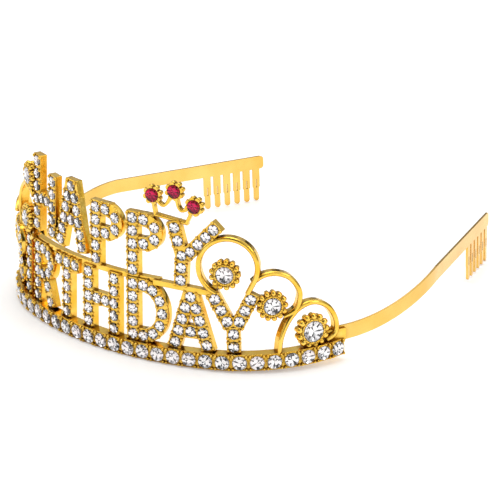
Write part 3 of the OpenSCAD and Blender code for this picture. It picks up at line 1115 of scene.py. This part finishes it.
@dataclass
class FlowerBed:
    """All seven flowers, with their petals, prongs and stones."""

    finishes: Finishes
    flower_r: float = 4.4
    big_r: float = 5.1
    top_r: float = 4.2
    stone_d: float = 5.0
    big_stone_d: float = 6.2
    stone_sides: int = 16
    bead_count: int = 13
    bead_share: float = 0.9
    petal_grow: float = 1.14
    petal_stretch: float = 1.12
    petal_h: float = 1.0
    petal_out: float = 0.08
    petal_lift: float = 0.05
    prong_r: float = 0.42
    prong_out: float = 0.3
    prong_sink: float = 0.08

    def flowers(self) -> list:
        """Lays out the flowers of both sides, named as their stones' nodes are.

        Returns:
            The flowers.
        """
        small, big = (self.flower_r, self.stone_d), (self.big_r, self.big_stone_d)
        made = []
        for side in (Side.RIGHT, Side.LEFT):
            name, m = side.name.lower(), side.value
            made.append(Flower(f"{name}_inner", m * 41.1, 26.2, *small))
            made.append(Flower(f"{name}_middle", m * reach(55.1, side), 16.5, *small))
            made.append(Flower(f"{name}_outer", m * reach(67.4, side), 7.0, *big))
        made.append(Flower("left_top", -39.6, 40.1, self.top_r, self.stone_d))
        return made

    def ring(self, base: Matrix, r: float, z: float) -> list:
        """Returns a matrix for each bead of a ring at height z in a flower's frame."""
        steps = [2 * math.pi * i / self.bead_count for i in range(self.bead_count)]
        return [base @ Matrix.Rotation(a, 4, "Z") @ shift(r, 0, z) for a in steps]

    def build(self) -> None:
        """Builds each flower's petals and prongs, and its stone."""
        beads = []
        stone_z = FLOWER_FACE + BEZEL_H
        for flower in self.flowers():
            base = STANCE.on_front(flower.s, flower.h)
            ring_r = flower.r / (1 + self.bead_share * math.sin(math.pi / self.bead_count))
            petal = dome((flower.r - ring_r) * self.petal_grow, self.petal_h, around=12, up=4)
            petal.data.transform(Matrix.Diagonal((self.petal_stretch, 1, 1, 1)))
            petal_ring = self.ring(base, ring_r + self.petal_out, BEAD_FACE + self.petal_lift)
            beads += copies(petal, petal_ring)
            inner_r = flower.stone_d / 2 + self.prong_out
            prong_ring = self.ring(base, inner_r, stone_z - self.prong_sink)
            beads += copies(dome(self.prong_r, self.prong_r), prong_ring)
            cut = STONE_CUT.model(self.stone_sides, flower.stone_d)
            stone = copies(cut, [base @ shift(0, 0, stone_z)])
            nodes = (f"flower_stone_{flower.name}",)
            settle(stone, f"{flower.name}_cut_stone", self.finishes.clear, nodes)
        settle(beads, "flower_petals", self.finishes.bead)


# Small crown


@dataclass
class SmallCrown:
    """The small crown on the upper row: wires and three red stones in petal cups."""

    finishes: Finishes
    s: float = 23.9
    h: float = 40.9
    tilt: float = math.radians(-8)
    foot: float = 9.8
    stones: tuple = (("left", -6.6, 5.5), ("middle", 0.0, 8.3), ("right", 6.6, 5.5))
    stone_d: float = 4.2
    stone_sides: int = 12
    stone_sink: float = 0.2
    cup_r: float = 2.2
    petal_r: float = 0.84
    petal_h: float = 0.62
    petal_sink: float = 1.0
    petal_count: int = 8
    valley: tuple = (
        (-4.95, 4.45), (-3.9, 3.6), (-2.8, 3.3), (-1.9, 4.1), (-1.3, 5.4), (-1.0, 6.6),
    )
    side_top: tuple = (6.1, 3.6)
    wire_r: float = 0.47
    wire_flat: float = 0.7
    wire_sink: float = 0.45

    def wires(self) -> list:
        """Lays out the crown's wires.

        Returns:
            Runs of pairs of x and y.
        """
        half = self.foot / 2
        runs = [[(-half, 0.0), (half, 0.0)]]
        for m in (1, -1):
            runs.append([(m * x, y) for x, y in smooth(self.valley, steps=4)])
            runs.append([(m * -half, 0.0), (m * -self.side_top[0], self.side_top[1])])
        return runs

    def cup(self, base: Matrix, x: float, y: float) -> list:
        """Places the petals round a stone.

        Args:
            base: Matrix from the small crown's frame to the scene.
            x: The stone's place along the crown's foot.
            y: Its place above the foot.

        Returns:
            A matrix for each petal.
        """
        turns = [360 * (i + 0.5) / self.petal_count for i in range(self.petal_count)]
        spots = [polar(self.cup_r, turn) for turn in turns]
        return [base @ shift(x + u, y + v, PLATE_FACE - self.petal_sink) for u, v in spots]

    def build(self) -> None:
        """Builds the crown's wire rounding, petals and stones."""
        base = STANCE.on_front(self.s, self.h) @ Matrix.Rotation(self.tilt, 4, "Z")
        r, flat, wire_z = self.wire_r, self.wire_flat, PLATE_FACE - self.wire_sink
        parts = [round_wire(run, base, r, flat, wire_z) for run in self.wires()]
        for side, x, y in self.stones:
            petal = dome(self.petal_r, self.petal_h, around=10)
            parts += copies(petal, self.cup(base, x, y))
            seat = base @ shift(x, y, PLATE_FACE - self.stone_sink)
            stone = copies(STONE_CUT.model(self.stone_sides, self.stone_d), [seat])
            nodes = (f"red_stone_{side}",)
            settle(stone, f"{side}_red_cut_stone", self.finishes.red, nodes)
        settle(parts, "small_crown_rounding", self.finishes.bead)


# Casting and strips that the CAD model gives


@dataclass
class Castings:
    """The front casting and the two side strips, which keep their CAD shapes."""

    finishes: Finishes
    front: str = "front_frame"
    strips: tuple = ("right_arm", "left_arm")

    def build(self) -> None:
        """Gives each CAD solid its finish."""
        for name in (self.front, *self.strips):
            (material,) = self.finishes.strip if name in self.strips else self.finishes.cast
            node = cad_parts[name]
            if not node.material_slots:
                node.data.materials.append(None)
            for slot in node.material_slots:
                slot.material = material
            LOG.info("%s: CAD shape, %s", name, material.name)


# Studio


@dataclass(frozen=True)
class Softbox:
    """A soft light: its name, its place and size in metres and its power in watts."""

    name: str
    place: tuple
    size: float
    power: float


@dataclass
class Studio:
    """Pale floor, soft lights, surroundings and the camera at the photograph's angle."""

    finishes: Finishes
    focal_px: float = 2324.35
    frame_px: float = 500.0
    sensor: float = 36.0
    clip: tuple = (0.01, 30.0)
    eye: tuple = (0.4280, -0.5268, 0.2637)
    right: tuple = (0.7776, 0.6288, 0.0)
    back: tuple = (0.589, -0.729, 0.3484)
    floor_size: float = 12.0
    light_aim: tuple = (0, 0, 0.02)
    softboxes: tuple = (
        Softbox("top_box", (0.0, 0.1, 1.5), 0.9, 7.0),
        Softbox("left_box", (-1.2, -0.7, 0.9), 0.5, 2.6),
        Softbox("right_box", (1.3, 0.2, 0.9), 0.5, 2.4),
    )
    # Colours behind the crown and in front of it, by the sine of their height
    behind: tuple = (
        (0.0, (0.75, 0.75, 0.75)),
        (0.12, (0.55, 0.55, 0.56)),
        (0.16, (0.03, 0.03, 0.035)),
        (0.24, (0.03, 0.03, 0.035)),
        (0.28, (0.6, 0.6, 0.61)),
        (0.5, (0.55, 0.55, 0.56)),
        (0.62, (1.0, 1.0, 1.0)),
    )
    ahead: tuple = ((0.0, (0.9, 0.9, 0.9)), (0.3, (1.0, 1.0, 1.0)), (0.9, (1.0, 1.0, 1.0)))
    front: tuple = (0.628, -0.778, 0.0)
    front_range: tuple = (-0.25, 0.3)
    # Clouds that dim the surroundings in patches
    cloud_scale: float = 2.1
    cloud_range: tuple = (0.44, 0.54)
    cloud_dim: float = 0.5
    # The dark arc round -y: its place along y, its soft sides, where it starts and its light
    gap_y: float = 0.729
    gap_sides: tuple = (0.13, 0.17)
    gap_aim: tuple = (0.766, 0.0, 0.643)
    gap_start: tuple = (0.1, 0.2)
    gap_light: float = 0.04

    def camera(self) -> None:
        """Places the camera."""
        data = bpy.data.cameras.new("camera")
        data.sensor_width = self.sensor
        data.lens = self.focal_px * self.sensor / self.frame_px
        data.clip_start, data.clip_end = self.clip
        camera = bpy.data.objects.new("camera", data)
        bpy.context.scene.collection.objects.link(camera)
        back = Vector(self.back).normalized()
        right = Vector(self.right)
        right = (right - back * right.dot(back)).normalized()
        up = back.cross(right)
        turn = Matrix((right, up, back)).transposed().to_4x4()
        camera.matrix_world = Matrix.Translation(self.eye) @ turn
        bpy.context.scene.camera = camera

    def floor(self) -> None:
        """Lays the floor."""
        deselect()
        bpy.ops.mesh.primitive_plane_add(size=self.floor_size)
        bpy.ops.object.mode_set(mode="EDIT")
        bpy.ops.mesh.subdivide(number_cuts=4)
        floor = finish_template(smooth_angle=0)
        floor.name = "floor"
        floor.data.materials.append(self.finishes.floor[0])

    def hang(self, box: Softbox) -> None:
        """Hangs a softbox that faces the crown.

        Args:
            box: The softbox.
        """
        data = bpy.data.lights.new(box.name, "AREA")
        data.shape = "RECTANGLE"
        data.size = data.size_y = box.size
        data.energy = box.power
        light = bpy.data.objects.new(box.name, data)
        bpy.context.scene.collection.objects.link(light)
        aim = (Vector(self.light_aim) - Vector(box.place)).to_track_quat("-Z", "Y")
        light.matrix_world = Matrix.Translation(box.place) @ aim.to_matrix().to_4x4()

    def heights(self, graph: Graph, direction: NodeSocket, stops: tuple) -> NodeSocket:
        """Colours the surroundings by height above the horizon.

        Args:
            graph: The world's node tree.
            direction: The direction that is looked in.
            stops: Pairs of the height's sine and a colour.

        Returns:
            The colour.
        """
        ramp = graph.add("ShaderNodeValToRGB", {"Fac": graph.toward(direction, (0.0, 0.0, 1.0))})
        while len(ramp.color_ramp.elements) < len(stops):
            ramp.color_ramp.elements.new(0.5)
        for element, (place, colour) in zip(ramp.color_ramp.elements, stops):
            element.position = place
            element.color = (*colour, 1.0)
        return ramp.outputs["Color"]

    def dark_gap(self, graph: Graph, direction: NodeSocket) -> NodeSocket:
        """Darkens a narrow arc, the gap between two soft boxes, that edges and beads mirror.

        Args:
            graph: The world's node tree.
            direction: The direction that is looked in.

        Returns:
            The light that is left, as a share.
        """
        off = graph.calculate("ADD", graph.toward(direction, (0.0, 1.0, 0.0)), self.gap_y)
        across = graph.spread(graph.calculate("ABSOLUTE", off), SHARE, self.gap_sides)
        toward = graph.toward(direction, self.gap_aim)
        along = graph.spread(toward, (1.0, self.gap_light), self.gap_start)
        return graph.calculate("MAXIMUM", across, along)

    def world(self) -> None:
        """Sets the surroundings: bright ahead and overhead, with dark bands to be mirrored."""
        world = bpy.data.worlds.new("studio")
        bpy.context.scene.world = world
        world.use_nodes = True
        graph = Graph(world.node_tree)
        direction = graph.add("ShaderNodeTexCoord", {}).outputs["Generated"]
        facing = graph.spread(graph.toward(direction, self.front), SHARE, self.front_range)
        behind = self.heights(graph, direction, self.behind)
        walls = graph.blend(facing, behind, self.heights(graph, direction, self.ahead))
        cloud_inputs = {"Vector": direction, "Scale": self.cloud_scale, "Detail": 1.0}
        cloud = graph.add("ShaderNodeTexNoise", cloud_inputs).outputs["Fac"]
        dim = graph.spread(cloud, (self.cloud_dim, 1.0), self.cloud_range)
        light = graph.calculate("MULTIPLY", dim, self.dark_gap(graph, direction))
        inputs = {"Vector": walls, "Scale": light}
        shaded = graph.add("ShaderNodeVectorMath", inputs, operation="SCALE").outputs["Vector"]
        graph.fill(graph.tree.nodes["Background"], {"Color": shaded, "Strength": 1.0})
        bpy.context.scene.view_settings.view_transform = "Standard"

    def build(self) -> None:
        """Builds the floor, surroundings, lights and camera."""
        self.floor()
        self.world()
        for box in self.softboxes:
            self.hang(box)
        self.camera()


UPPER_PITCH = 3.9
LOWER_PITCH = 3.8
LOWER_FOOT = 4.4
UPPER_LETTERS = [
    plain(-29.0, 26.8, Cap.TALL_H, UPPER_PITCH),
    cap_a(-14.4, 26.2, w=5.0, p=3.52, n=5),
    plain(0.6, 24.4, Cap.P, UPPER_PITCH),
    plain(14.8, 23.9, Cap.P, UPPER_PITCH),
    plain(29.5, 23.1, Cap.SLANT_Y, UPPER_PITCH),
]
LOWER_LETTERS = [
    plain(-49.4, LOWER_FOOT, Cap.B, LOWER_PITCH),
    plain(-40.3, LOWER_FOOT, Cap.I, LOWER_PITCH),
    plain(-29.2, LOWER_FOOT, Cap.R, LOWER_PITCH),
    plain(-16.5, LOWER_FOOT, Cap.T, LOWER_PITCH),
    plain(-1.15, LOWER_FOOT, Cap.WIDE_H, LOWER_PITCH),
    plain(16.1, LOWER_FOOT, Cap.D, LOWER_PITCH),
    cap_a(30.2, LOWER_FOOT, w=4.85, p=3.55, n=4),
    plain(43.3, LOWER_FOOT, Cap.Y, LOWER_PITCH),
]


def main() -> None:
    """Builds the crown's details, its finishes and the studio, in order."""
    logging.basicConfig(level=logging.INFO, format="%(name)s: %(message)s")
    finishes = Finishes()
    assemblies = (
        Castings(finishes),
        StoneRail(finishes),
        LetterRow(finishes, "lower_row", LOWER_LETTERS),
        LetterRow(finishes, "upper_row", UPPER_LETTERS),
        Scroll(finishes, Side.RIGHT),
        Scroll(finishes, Side.LEFT),
        FlowerBed(finishes),
        SmallCrown(finishes),
        Studio(finishes),
    )
    for assembly in assemblies:
        assembly.build()


if __name__ == "__main__":
    main()
